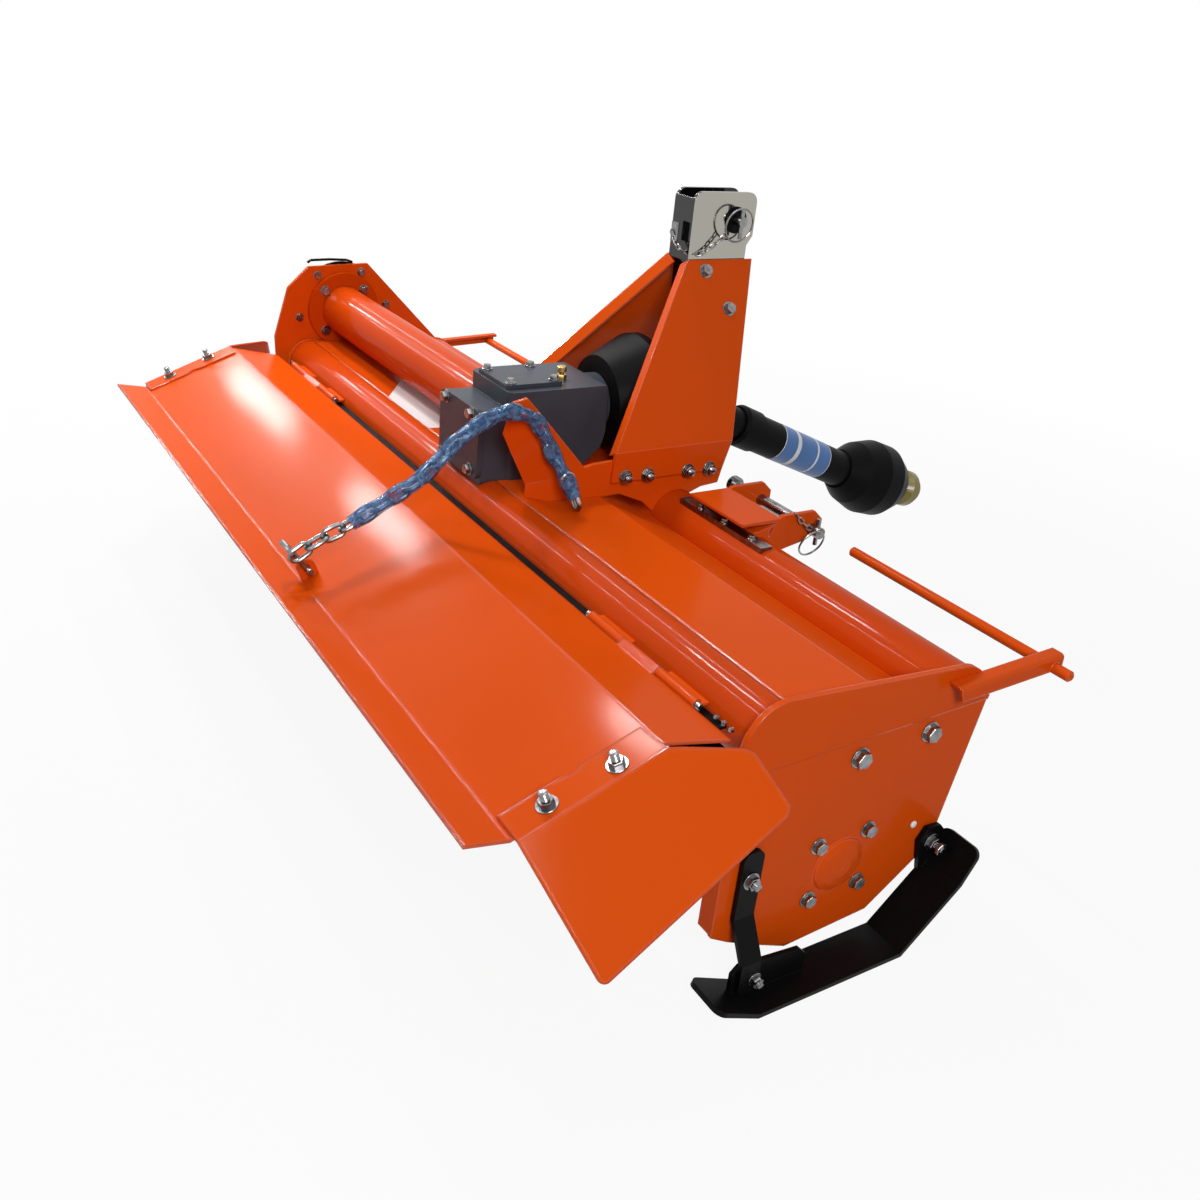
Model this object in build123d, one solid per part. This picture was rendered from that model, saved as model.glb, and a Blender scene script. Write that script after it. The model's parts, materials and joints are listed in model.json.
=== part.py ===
"""Three-point-hitch rotary tiller (rotavator), one STEP file per sub-part.

Work frame while drawing: +X is the machine's right, +Y forward (tractor side), +Z up, heights and
fore-and-aft places from the rotor axis, X from the middle of the machine. On export everything is
moved so that the origin is on the floor under the middle of the machine's box.
All sizes in millimetres.
"""
import os
from math import cos, sin, pi, radians, hypot
from build123d import *

os.makedirs("parts", exist_ok=True)

# ---------------------------------------------------------------- driving sizes
AXLE_H = 157.0          # rotor axis above the skids' soles
PLATE_X = 938.0         # middle to the right plate's outer face and to the left plate's inner face
PLATE_T = 8.0           # bearing plate, left end plate, supports and mast plates
BAND_T = 10.0           # upper band of the right end plate
INNER_X = PLATE_X - BAND_T      # inner face of the right end
SHEET_T = 4.0           # deck, skirt, gate and wings
TUBE_R = 54.0           # front and rear cross tubes
TUBE_WALL = 6.0
REAR_TUBE = (-157.0, 255.0)     # (y, z) of the rear cross tube
FRONT_TUBE = (176.0, 242.0)
DRIVE_TUBE = (-70.0, 382.0)     # side drive tube, from the gearbox to the chain case
DRIVE_R = 57.0
INPUT_Z = 418.0                 # gearbox input shaft height
DECK_FRONT = (2.0, 304.0)       # bend where the deck starts to fall to the front tube
ROTOR_TIP_R = 148.0
HINGE = (-230.0, 276.5)         # gate hinge axis
HINGE_X = 696.0                 # middle of each of the two hinges
HINGE_ROD_R = 4.5
KNUCKLE_R = 8.0
KNUCKLE_L = 92.0
RUN_GAP = 0.3                   # between a hinge rod and its knuckle
MOVE_GAP = 5.0                  # between pieces that pass each other
GATE_EDGE_GAP = 12.0            # from the gate panel's edge in to the wing's fold
GATE_BEND_1 = (-350.0, 301.5)   # upper bend of the gate, outer surface
GATE_BEND_2 = (-558.0, 221.0)   # lower bend
GATE_LIP = (-619.0, 232.0)      # trailing edge
WING_FOLD = 45.0                # degrees from the gate's surface down to the wing
SUPPORT_X = 198.0               # outer face of the gearbox supports
MAST_TOP_X = 35.0               # outer face of the mast plates at their top
MAST_BEND_Z = 388.0
MAST_TOP_Z = 694.0
TOP_PIN = (361.0, 767.0)        # (y, z) of the top-link pin
TOP_PIN_R = 9.5
LOWER_PIN = (312.0, 293.0)      # (y, z) of the lower-link pins
LOWER_PIN_R = 11.0
HITCH_X = (280.0, 437.0)        # inner and outer faces of the lower hitch ears
HITCH_TOP_Z = 324.0
SKID_W = 76.0
SKID_T = 8.0
JOINT_Y = 270.0                 # centre of the drive shaft's rear joint
SHAFT_DROOP = 23.0              # degrees that the drive shaft hangs below level
TIP_DROOP = 18.0                # degrees that the front bell and yoke hang below level
GUARD_R = 41.0                  # front guard tube, slides over the rear one
GUARD_WALL = 3.0
COLLAR_S = (205.0, 262.0)       # thick rear end of the front guard tube, from the joint centre
BELL_S = 566.0                  # where the front bell starts along the shaft
YOKE_END = 270.0                # tip of the tractor-end yoke, from the bell's start
SPLINE_R = 17.5                 # bore of the tractor-end yoke

DECK_TOP = REAR_TUBE[1] + TUBE_R
GATE_HALF = PLATE_X - GATE_EDGE_GAP


# ---------------------------------------------------------------- helpers
def slab(points, x0, x1, radius=0.0):
    """Flat plate with a (y, z) outline between two X places."""
    face = make_face(Polyline(*points, close=True))
    if radius:
        face = fillet(face.vertices(), radius)
    return Plane.YZ.offset(x0) * extrude(face, x1 - x0)


def rod_x(radius, x0, x1, yz):
    return Pos((x0 + x1) / 2, yz[0], yz[1]) * Rot(0, 90, 0) * Cylinder(radius, x1 - x0)


def rod(p0, p1, radius):
    a, b = Vector(*p0), Vector(*p1)
    length = (b - a).length
    return Plane(origin=a, z_dir=(b - a)) * Cylinder(radius, length, align=(Align.CENTER, Align.CENTER, Align.MIN))


def tube_x(radius, wall, x0, x1, yz):
    return rod_x(radius, x0, x1, yz) - rod_x(radius - wall, x0 - 1, x1 + 1, yz)


def bent_outline(points, thickness):
    """Closed outline of a bent sheet: the line given and its offset to the right, mitred."""
    dirs = []
    for (ya, za), (yb, zb) in zip(points, points[1:]):
        n = hypot(yb - ya, zb - za)
        dirs.append(((yb - ya) / n, (zb - za) / n))
    other = []
    for i, (y, z) in enumerate(points):
        d0 = dirs[max(i - 1, 0)]
        d1 = dirs[min(i, len(dirs) - 1)]
        n0 = (d0[1], -d0[0])
        n1 = (d1[1], -d1[0])
        k = 1.0 + n0[0] * n1[0] + n0[1] * n1[1]
        other.append((y + thickness * (n0[0] + n1[0]) / k, z + thickness * (n0[1] + n1[1]) / k))
    return points + other[::-1]


def box(x0, x1, y0, y1, z0, z1):
    return Pos((x0 + x1) / 2, (y0 + y1) / 2, (z0 + z1) / 2) * Box(x1 - x0, y1 - y0, z1 - z0)


def mirror_x(shape):
    return mirror(shape, about=Plane.YZ)


def on_shaft(s, side=0.0, up=0.0):
    """Point at distance s along the drive shaft from its rear joint."""
    a = radians(SHAFT_DROOP)
    return (side, JOINT_Y + s * cos(a) + up * sin(a), INPUT_Z - s * sin(a) + up * cos(a))


def shaft_plane(s, droop):
    """Plane across the drive shaft at s: local z forward, drooping, local x to the right."""
    a = radians(droop)
    return Plane(origin=on_shaft(s), x_dir=(1, 0, 0), z_dir=(0, cos(a), -sin(a)))


def turned(profile, plane):
    """Solid of revolution from (r, s) points about the plane's z axis."""
    face = make_face(Plane.XZ * Polyline(*profile, close=True))
    return plane * revolve(face, axis=Axis.Z)


NODES = {}


def node(name, shape):
    NODES[name] = shape


# ---------------------------------------------------------------- cross tubes, deck, skirt
node("rear_tube", tube_x(TUBE_R, TUBE_WALL, -PLATE_X, INNER_X, REAR_TUBE))
node("front_tube", tube_x(TUBE_R, TUBE_WALL, -PLATE_X, INNER_X, FRONT_TUBE))
rear_bar = rod_x(TUBE_R, -PLATE_X - 20, PLATE_X + 20, REAR_TUBE)
front_bar = rod_x(TUBE_R, -PLATE_X - 20, PLATE_X + 20, FRONT_TUBE)

deck_line = [(REAR_TUBE[0], DECK_TOP), DECK_FRONT, (132.0, 246.0)]
deck = slab(bent_outline(deck_line, SHEET_T + 1), -PLATE_X, INNER_X)
node("deck", deck - rear_bar - front_bar)

skirt_line = [(176.0, 192.0), (204.0, 150.0), (196.0, 92.0)]
skirt = slab(bent_outline(skirt_line, SHEET_T), -PLATE_X, INNER_X)
node("front_skirt", skirt - front_bar)

# ---------------------------------------------------------------- end plates
# outline of an end plate, y then z, clockwise from the rear edge
END_REAR = -226.0
SEAM = ((-260.0, 214.0), (260.0, 230.0))      # line between the upper band and the bearing plate
LOWER_OUTLINE = [(END_REAR, 255.0), (END_REAR, -56.0), (-193.0, -76.0), (-134.0, -105.0),
                 (-76.0, -131.0), (86.0, -119.0), (180.0, -47.0), (206.0, 1.0), (248.0, 237.0)]
LEFT_TOP = [(200.0, 280.0), (-5.0, 492.0), (-156.0, 487.0), (-208.0, 438.0), (-243.0, 321.0),
            (-241.0, 269.0)]
rear_corner = Pos(*REAR_TUBE) * Circle(TUBE_R + 14)
front_corner = Pos(*FRONT_TUBE) * Circle(TUBE_R + 4)
upper_edge = make_hull(rear_corner.edges() + front_corner.edges())
right_face = make_face(Polyline(*LOWER_OUTLINE, close=True)) + upper_edge
above = make_face(Polyline(SEAM[0], SEAM[1], (260, 600), (-260, 600), close=True))
band = Plane.YZ.offset(INNER_X) * extrude(right_face & above, BAND_T)
node("right_end_plate", band)
lower_face = right_face - above
panel = Plane.YZ.offset(INNER_X) * extrude(lower_face, PLATE_T)
boss = turned([(0, -2), (48, -2), (45, 4), (34, 8), (18, 10.5), (0, 11)],
              Plane(origin=(PLATE_X - 2, 0, 0), x_dir=(0, 1, 0), z_dir=(1, 0, 0)))
lip = box(INNER_X - 24, INNER_X, END_REAR, END_REAR + 6, -54, 200)
JOURNAL_R = 20.0
BEARING_GAP = 0.08
HUB_L = 26.0


def hub(x0, x1):
    return rod_x(50, x0, x1, (0, 0)) - rod_x(JOURNAL_R + BEARING_GAP, x0 - 1, x1 + 1, (0, 0))


node("right_bearing_plate", panel + boss + lip + hub(INNER_X - HUB_L, INNER_X))

left_face = make_face(Polyline(*([(-241.0, 62.0)] + LOWER_OUTLINE[1:] + LEFT_TOP), close=True))
left_plate = Plane.YZ.offset(-PLATE_X - PLATE_T) * extrude(left_face, PLATE_T)
node("left_end_plate", left_plate + hub(-PLATE_X, -PLATE_X + HUB_L))

# chain case on the left end: two round ends joined, with a bolting flange
CASE_DEPTH = 62.0
case_in = -PLATE_X - PLATE_T


def case_shape(r_top, r_low, x0, x1):
    a, b = (DRIVE_TUBE[0], DRIVE_TUBE[1]), (0.0, 0.0)
    hull = make_hull((Pos(*a) * Circle(r_top)).edges() + (Pos(*b) * Circle(r_low)).edges())
    return Plane.YZ.offset(x0) * extrude(hull, x1 - x0)


case = case_shape(98, 88, case_in - CASE_DEPTH, case_in)
case = chamfer(case.faces().sort_by(Axis.X)[0].edges(), 14)
case += case_shape(114, 104, case_in - 6, case_in)
hub_cap = turned([(0, 0), (44, 0), (40, 10), (0, 13)],
                 Plane(origin=(case_in - CASE_DEPTH, 0, 0), x_dir=(0, 1, 0), z_dir=(-1, 0, 0)))
node("chain_case", case + hub_cap)

# ---------------------------------------------------------------- gearbox and side drive tube
GB_HALF = 82.0
GB_REAR, GB_STEP, GB_FRONT = -185.0, -134.0, 83.0
GB_LOW, GB_STEP_Z, GB_TOP = 300.0, 444.0, 475.0
COVER_Z = 380.0
body_side = [(GB_STEP, GB_LOW), (-20, GB_LOW), (28, 320), (66, 352), (GB_FRONT, 398), (GB_FRONT, 452),
             (GB_FRONT - 12, GB_TOP), (GB_STEP, GB_TOP)]
body = slab(body_side, -GB_HALF, GB_HALF)
body = fillet(body.edges().filter_by(Axis.Z), 14)
rear_body = box(-GB_HALF + 4, GB_HALF - 4, GB_REAR, GB_STEP + 20, GB_LOW, GB_STEP_Z)
rear_body = fillet(rear_body.edges().filter_by(Axis.Y), 14)
neck = rod((0, GB_FRONT - 20, INPUT_Z), (0, 99, INPUT_Z), 56)
body = body + rear_body + neck
body = body - rear_bar - slab(bent_outline(deck_line, 60), -200, 200)
node("gearbox_housing", body)

cover = box(-GB_HALF, GB_HALF, GB_REAR - 10, GB_REAR, COVER_Z - 66, COVER_Z + 66)
node("gearbox_rear_cover", fillet(cover.edges().filter_by(Axis.Y), 20))
top_cover = box(-60, 60, GB_STEP + 4, -13, GB_TOP, GB_TOP + 8)
node("gearbox_top_cover", fillet(top_cover.edges().filter_by(Axis.Z), 6))

drive = tube_x(DRIVE_R, 5, -PLATE_X, -GB_HALF, DRIVE_TUBE)
drive += tube_x(90, 38, -PLATE_X, -PLATE_X + 14, DRIVE_TUBE)
drive += tube_x(78, 26, -GB_HALF - 12, -GB_HALF, DRIVE_TUBE)
under_deck = slab(bent_outline(deck_line, 60), -PLATE_X, INNER_X)
node("drive_tube", drive - under_deck)

input_plane = Plane(origin=(0, 0, INPUT_Z), x_dir=(1, 0, 0), z_dir=(0, 1, 0))
shield_profile = [(40, 100), (89, 100), (127, 182), (127, 198), (123, 198), (123, 183), (86, 104),
                  (40, 104)]
shield = turned(shield_profile, input_plane)
node("input_shield", shield - box(-200, 200, 0, 300, 0, FRONT_TUBE[1] + TUBE_R + 3))

fork_hub_y = JOINT_Y - 50
stub = rod((0, 99, INPUT_Z), (0, fork_hub_y, INPUT_Z), SPLINE_R)
hub = rod((0, fork_hub_y - 60, INPUT_Z), (0, fork_hub_y, INPUT_Z), 29)
arms = [box(s * 34 - 6, s * 34 + 6, fork_hub_y - 6, JOINT_Y, INPUT_Z - 17, INPUT_Z + 17)
        + rod_x(17, s * 34 - 6, s * 34 + 6, (JOINT_Y, INPUT_Z)) for s in (-1, 1)]
bridge = box(-40, 40, fork_hub_y - 12, fork_hub_y, INPUT_Z - 17, INPUT_Z + 17)
fork = stub + hub + bridge + arms[0] + arms[1]
fork -= rod_x(8 + RUN_GAP, -60, 60, (JOINT_Y, INPUT_Z))
node("input_fork", fork)

# ---------------------------------------------------------------- gearbox supports and mast
# outline (y, z) of the flat part, then of the strip at its rear that is bent inward
FLAP_ANGLE = 39.0
support_outline = [(-104.0, 297.0), (-106.0, 350.0), (-177.0, 500.0), (-163.0, 504.0), (-141.0, 481.0),
                   (-37.0, 365.0), (-17.0, 369.0), (40.0, 372.0), (285.0, 352.0), (273.0, 300.0),
                   (232.0, 296.0), (128.0, 255.0), (99.0, 281.0), (44.0, 304.0), (-22.0, 302.0)]
support = slab(support_outline, SUPPORT_X - PLATE_T, SUPPORT_X)
ear = slab([(-106.0, 350.0), (-177.0, 500.0), (-191.0, 492.0), (-201.0, 428.0), (-147.0, 321.0)],
           SUPPORT_X - PLATE_T, SUPPORT_X)
ear = ear.rotate(Axis((SUPPORT_X, -106.0, 350.0), (0, -71.0, 150.0)), -FLAP_ANGLE)
foot_flap = slab([(-104.0, 297.0), (-106.0, 350.0), (-152.0, 334.0), (-152.0, 295.0)],
                 SUPPORT_X - PLATE_T, SUPPORT_X)
foot_flap = foot_flap.rotate(Axis((SUPPORT_X, -104.0, 297.0), (0, -2.0, 53.0)), -FLAP_ANGLE)
support = support + ear + foot_flap
support = support - rear_bar - front_bar - slab(bent_outline(deck_line, 60), 60, 300)
node("right_support", support)
left_outline = [(-6.0, 300.0), (-6.0, 369.0)] + support_outline[7:14]
left_plate_piece = slab(left_outline, -SUPPORT_X, -SUPPORT_X + PLATE_T)
node("left_support", left_plate_piece - front_bar - slab(bent_outline(deck_line, 60), -300, -100))

mast_tilt = radians(29.2)
mast_len = (MAST_TOP_Z - MAST_BEND_Z) / cos(mast_tilt)
mast_low = slab([(20, 330), (23, MAST_BEND_Z), (289, MAST_BEND_Z), (273, 332)],
                SUPPORT_X, SUPPORT_X + PLATE_T)
mast_plane = Plane(origin=(SUPPORT_X + PLATE_T, 0, MAST_BEND_Z), x_dir=(0, 1, 0),
                   z_dir=(cos(mast_tilt), 0, sin(mast_tilt)))
MAST_REAR, MAST_FRONT = TOP_PIN[0] - 104, TOP_PIN[0] + 51
mast_face = make_face(Polyline((23, 0), (289, 0), (MAST_FRONT, mast_len), (MAST_REAR, mast_len),
                               close=True))
mast_up = mast_plane * extrude(mast_face, -PLATE_T)
lip_face = make_face(Polyline((23, 0), (MAST_REAR, mast_len), (MAST_REAR + 5, mast_len), (28, 0),
                              close=True))
mast_lip = mast_plane * extrude(lip_face, -26)
mast = mast_low + mast_up + mast_lip
node("right_mast_plate", mast)
node("left_mast_plate", mirror_x(mast))

CLEVIS_REAR, CLEVIS_FRONT = TOP_PIN[0] - 102, TOP_PIN[0] + 47
CLEVIS_TOP = TOP_PIN[1] + 51
CHEEK_X = (24.0, 32.0)          # inner and outer faces of the clevis cheeks
cheek_face = make_face(Polyline((CLEVIS_REAR, MAST_TOP_Z - 4), (CLEVIS_REAR, CLEVIS_TOP),
                                (CLEVIS_FRONT, CLEVIS_TOP), (CLEVIS_FRONT, TOP_PIN[1] - 30),
                                (CLEVIS_FRONT - 12, TOP_PIN[1] - 48), (CLEVIS_FRONT - 12, MAST_TOP_Z - 4),
                                close=True))
cheek_face = fillet(cheek_face.vertices().group_by(Axis.Y)[-1], 20)
cheek = Plane.YZ.offset(CHEEK_X[0]) * extrude(cheek_face, CHEEK_X[1] - CHEEK_X[0])
cheek = cheek - rod_x(TOP_PIN_R + 0.05, 0, 60, TOP_PIN)
block = box(-CHEEK_X[0], CHEEK_X[0], CLEVIS_REAR + 9, CLEVIS_FRONT - 16, MAST_TOP_Z - 94, MAST_TOP_Z + 4)
web = box(-CHEEK_X[0], CHEEK_X[0], CLEVIS_REAR, CLEVIS_REAR + 8, MAST_TOP_Z - 4, CLEVIS_TOP - 12)
clevis = cheek + mirror_x(cheek) + web + block
node("top_clevis", clevis - mast_up - mirror_x(mast_up) - mast_lip - mirror_x(mast_lip))
PIN_END = (34.0, 58.0)          # free right end of the top-link pin, past a relief groove
top_pin = rod_x(TOP_PIN_R, -46, PIN_END[1], TOP_PIN) + rod_x(15, -56, -46, TOP_PIN)
groove = tube_x(TOP_PIN_R + 1, 2, PIN_END[0] - 1.5, PIN_END[0], TOP_PIN)
node("top_link_pin", top_pin - groove)

# ---------------------------------------------------------------- lower hitch brackets, pins, clamp strips
ear_outline = [(212, 250), (212, 290), (232, HITCH_TOP_Z), (240, 328), (314, 328), (334, 310),
               (334, 288), (300, 272), (240, 260)]
EAR_T = 8.0
ears = [slab(ear_outline, x, x + EAR_T) for x in (HITCH_X[0], HITCH_X[1] - EAR_T)]
top_plate = box(HITCH_X[0], HITCH_X[1], 147, 236, HITCH_TOP_Z - 6, HITCH_TOP_Z)
web_plate = slab([(180, 302), (228, HITCH_TOP_Z - 6), (236, HITCH_TOP_Z - 6), (188, 294)],
                 HITCH_X[0], HITCH_X[1])
foot = box(HITCH_X[0], HITCH_X[1], 176, 212, 262, 305)
bracket = ears[0] + ears[1] + top_plate + web_plate + foot - front_bar
bracket -= rod_x(LOWER_PIN_R + 0.05, 200, 500, LOWER_PIN)
node("right_hitch_bracket", bracket)
node("left_hitch_bracket", mirror_x(bracket))
pin = rod_x(LOWER_PIN_R, 210, 462, LOWER_PIN) + rod_x(17, 200, 212, LOWER_PIN)
node("hitch_pins", Compound(children=[pin.solid(), mirror_x(pin).solid()]))
strip = box(246, 490, 151, 176, FRONT_TUBE[1] + 48, FRONT_TUBE[1] + 59) - front_bar
node("clamp_strips", Compound(children=[strip.solid(), mirror_x(strip).solid()]))

# ---------------------------------------------------------------- skids, struts, guards: side name, sign, plate's outer face
SIDES = [("right", 1, PLATE_X), ("left", -1, PLATE_X + PLATE_T)]
SKID_LINE = [(-261.0, -119.0), (-182.0, -AXLE_H), (98.0, -AXLE_H), (200.0, -56.0), (230.0, 0.0)]
GUARD_BAR = (352.0, 273.0)      # (y, z) of the round bar in front of the tiller
ARM_OUT = 24.0                  # arm's outer face beyond the end plate
# angle-iron arm seen along its length: (outward, up) from the end plate and the arm's top edge
ARM_SECTION = [(0, 0), (ARM_OUT, 0), (ARM_OUT, -25), (ARM_OUT - 5, -25), (ARM_OUT - 5, -6), (0, -6)]
ARM_RISE = radians(2.6)
for side, sign, face_x in SIDES:
    sole = slab(bent_outline(SKID_LINE, -SKID_T), face_x + 1, face_x + 1 + SKID_W)
    ends = [e for e in sole.edges() if abs(e.length - SKID_T) < 0.2]
    sole = fillet(ends, 16)
    rib = slab([(-206, -150), (-206, -104), (-194, -92), (-80, -104), (-66, -118), (-66, -150)],
               face_x + 26, face_x + 34)
    lug = slab([(162, -8), (176, 16), (204, 14), (224, -8), (206, -44), (176, -66)],
               face_x + 1, face_x + 9)
    skid = sole + rib + lug
    strut_line = [(face_x + 1, 90), (face_x + 1, -28), (face_x + 34.2, -88), (face_x + 34.2, -136)]
    strut_face = make_face(Plane.XZ * Polyline(*bent_outline(strut_line, -8), close=True))
    strut = Pos(0, -162, 0) * extrude(strut_face, 36)
    top_edges = strut.edges().filter_by(Axis.X).group_by(Axis.Z)[-1]
    strut = fillet(top_edges, 14)
    arm_plane = Plane(origin=(face_x, 140, 282), x_dir=(1, 0, 0), z_dir=(0, cos(ARM_RISE), sin(ARM_RISE)))
    arm_face = make_face(Polyline(*[(out, -up) for out, up in ARM_SECTION], close=True))
    corner = arm_face.vertices().sort_by(Axis.X)[-2:].sort_by(Axis.Y)[0]
    arm = arm_plane * extrude(fillet(corner, 7), 230)
    arm -= slab([(130, 300), (140, 300), (163, 245), (130, 245)], face_x - 1, face_x + ARM_OUT + 1)
    reach = 56 if side == "right" else ARM_OUT + 2
    bar = rod_x(9, 508, face_x + reach, GUARD_BAR)
    bar = chamfer(bar.edges().filter_by(GeomType.CIRCLE), 3)
    guard = arm + bar
    if sign < 0:
        skid, strut, guard = mirror_x(skid), mirror_x(strut), mirror_x(guard)
    node(side + "_skid", skid)
    node(side + "_strut", strut)
    node(side + "_guard", guard)

# ---------------------------------------------------------------- gate hinge
frame_side = None
gate_side = None
for c in (-HINGE_X, HINGE_X):
    hinge_half = 1.5 * KNUCKLE_L
    rod_piece = rod_x(HINGE_ROD_R, c - hinge_half - 5, c + hinge_half + 5, HINGE)
    for s in (-1, 1):
        x0 = c + s * (KNUCKLE_L / 2 + 1.5)
        x1 = c + s * hinge_half
        lo, hi = min(x0, x1), max(x0, x1)
        rod_piece += rod_x(KNUCKLE_R, lo, hi, HINGE)
        rod_piece += box(lo, hi, HINGE[0] + 3, REAR_TUBE[0] - 30, HINGE[1] - 7, HINGE[1] - 2)
    rod_piece -= rear_bar
    frame_side = rod_piece if frame_side is None else frame_side + rod_piece
    ring = rod_x(KNUCKLE_R, c - KNUCKLE_L / 2, c + KNUCKLE_L / 2, HINGE)
    gate_side = ring if gate_side is None else gate_side + ring
node("hinge_knuckles", frame_side)

# ---------------------------------------------------------------- gate panel and wings
gate_start = (HINGE[0] - KNUCKLE_R - 2.0, HINGE[1] + 1.0)
gate_line = [GATE_LIP, GATE_BEND_2, GATE_BEND_1, gate_start]
gate = slab(bent_outline(gate_line, SHEET_T), -GATE_HALF, GATE_HALF)
for c in (-HINGE_X, HINGE_X):
    gate += slab([(gate_start[0] - 2, gate_start[1]), (gate_start[0] - 2, gate_start[1] - SHEET_T),
                  (HINGE[0] - 3, HINGE[1] - KNUCKLE_R + 1), (HINGE[0] - 3, HINGE[1] + KNUCKLE_R - 1.5)],
                 c - KNUCKLE_L / 2, c + KNUCKLE_L / 2)
gate = gate + gate_side
gate -= rod_x(HINGE_ROD_R + RUN_GAP, -GATE_HALF, GATE_HALF, HINGE)
node("gate_panel", gate)

slope = Vector(0, GATE_BEND_1[0] - GATE_BEND_2[0], GATE_BEND_1[1] - GATE_BEND_2[1])
mid_len = slope.length
e_dir = slope.normalized()
x_dir = Vector(1, 0, 0)
n_dir = x_dir.cross(e_dir)
fold_a = radians(WING_FOLD)
o_dir = x_dir * cos(fold_a) - n_dir * sin(fold_a)
fold_origin = Vector(PLATE_X, GATE_BEND_2[0], GATE_BEND_2[1]) + n_dir * 0.0
flange_plane = Plane(origin=fold_origin, x_dir=e_dir, z_dir=n_dir)
# in this plane local x runs up the gate, local y runs to the machine's left
flange_face = make_face(Polyline((4, 0), (4, 54), (96, 54), (104, 48), (118, 48), (126, 54),
                                 (mid_len - 6, 54), (mid_len - 2, 0), close=True))
flange = flange_plane * extrude(flange_face, SHEET_T)
wing_plane = Plane(origin=fold_origin + n_dir * SHEET_T, x_dir=e_dir, z_dir=e_dir.cross(o_dir))
wing_face = make_face(Polyline((4, 0), (2, 194), (308, 152), (318, 142), (315, 64), (306, 52),
                               (239, 10), (mid_len - 2, 0), close=True))
wing_face = fillet(wing_face.vertices().sort_by(Axis.Y)[-1], 10)
wing = flange + wing_plane * extrude(wing_face, SHEET_T)
node("right_wing", wing)
node("left_wing", mirror_x(wing))

EYE_X = 183.0
eye_c = Vector(EYE_X, GATE_BEND_2[0], GATE_BEND_2[1]) + e_dir * 16 + n_dir * 19
eye_plane = Plane(origin=eye_c, x_dir=e_dir, z_dir=x_dir)
eye = eye_plane * (Cylinder(15, 8) + Pos(0, -9.5, 0) * Box(30, 19, 8) - Cylinder(6.2, 20))
node("lift_eye", eye)
# shackle standing on the eye: flat bow with its corners taken off, and a round pin
BOW_WIRE = 9.0
BOW_LEAN = radians(74)
bow_dir = n_dir * sin(BOW_LEAN) - e_dir * cos(BOW_LEAN)
bow_outer = make_face(Polyline((-19.5, -4), (-19.5, 48), (-14, 61), (0, 67), (14, 61), (19.5, 48),
                               (19.5, -4), close=True))
bow_inner = make_face(Polyline((-10.5, -9), (-10.5, 48), (-7.5, 55), (0, 58), (7.5, 55), (10.5, 48),
                               (10.5, -9), close=True))
bow = extrude(bow_outer - bow_inner, BOW_WIRE / 2, both=True)
bow = chamfer(bow.edges().filter_by(Plane.XY), 2.6)
bow = Plane(origin=eye_c, x_dir=x_dir, z_dir=x_dir.cross(bow_dir)) * bow
shackle = bow + rod_x(5.5, EYE_X - 24, EYE_X + 24, (eye_c.Y, eye_c.Z))
node("lift_shackle", shackle)

# ---------------------------------------------------------------- lift chain, held on the support's ear
LINK_L, LINK_W, WIRE = 46.0, 29.0, 8.0
# points (x, y, z) along the middle of the chain, from the shackle to its free end
CHAIN = [(215, -582, 280), (215, -540, 305), (215, -494, 321), (215, -434, 352), (215, -365, 387),
         (215, -292, 456), (215, -228, 492), (215, -175, 487), (215, -146, 466), (222, -118, 402),
         (245, -99, 367), (276, -92, 322)]


def along(points, distance):
    for a, b in zip(points, points[1:]):
        step = (Vector(*b) - Vector(*a)).length
        if distance <= step:
            return Vector(*a) + (Vector(*b) - Vector(*a)) * (distance / step)
        distance -= step
    return Vector(*points[-1])


def link_outline(radius):
    half = (LINK_L - LINK_W) / 2
    turns = [radians(a) for a in (-90, -45, 0, 45, 90)]
    right = [(half + radius * cos(a), radius * sin(a)) for a in turns]
    return right + [(-x, -y) for x, y in right]


link_face = (make_face(Polyline(*link_outline(LINK_W / 2), close=True))
             - make_face(Polyline(*link_outline(LINK_W / 2 - WIRE), close=True)))
link = extrude(link_face, WIRE / 2, both=True)
link = chamfer(link.edges().filter_by(Plane.XY), WIRE * 0.29)
chain_len = sum((Vector(*b) - Vector(*a)).length for a, b in zip(CHAIN, CHAIN[1:]))
pitch = LINK_L - 2 * WIRE + 0.6
links = []
for i in range(int(chain_len // pitch)):
    a, b = along(CHAIN, i * pitch), along(CHAIN, (i + 1) * pitch)
    run = (b - a).normalized()
    across = x_dir if i % 2 == 0 else run.cross(x_dir)
    links.append((Plane(origin=(a + b) * 0.5, x_dir=run, z_dir=across) * link).solid())
node("lift_chain", Compound(children=links))

# ---------------------------------------------------------------- rotor
ROTOR_X = (-PLATE_X + HUB_L + 6, INNER_X - HUB_L - 6)
ROTOR_TUBE_R = 38.0
rotor = rod_x(ROTOR_TUBE_R, ROTOR_X[0], ROTOR_X[1], (0, 0))
rotor += rod_x(JOURNAL_R, -PLATE_X + 3, INNER_X - 3, (0, 0))
node("rotor_shaft", rotor)

FLANGES = 8
FLANGE_R, FLANGE_T = 78.0, 8.0
TINES = 6               # on each flange, every second one turned the other way
TINE_T = 8.0
FOOT = 76.0             # sideways reach of a tine's foot from its flange
FOOT_R = 143.0          # outer face of the foot
BEND_R = 26.0           # inside of the bend
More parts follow.
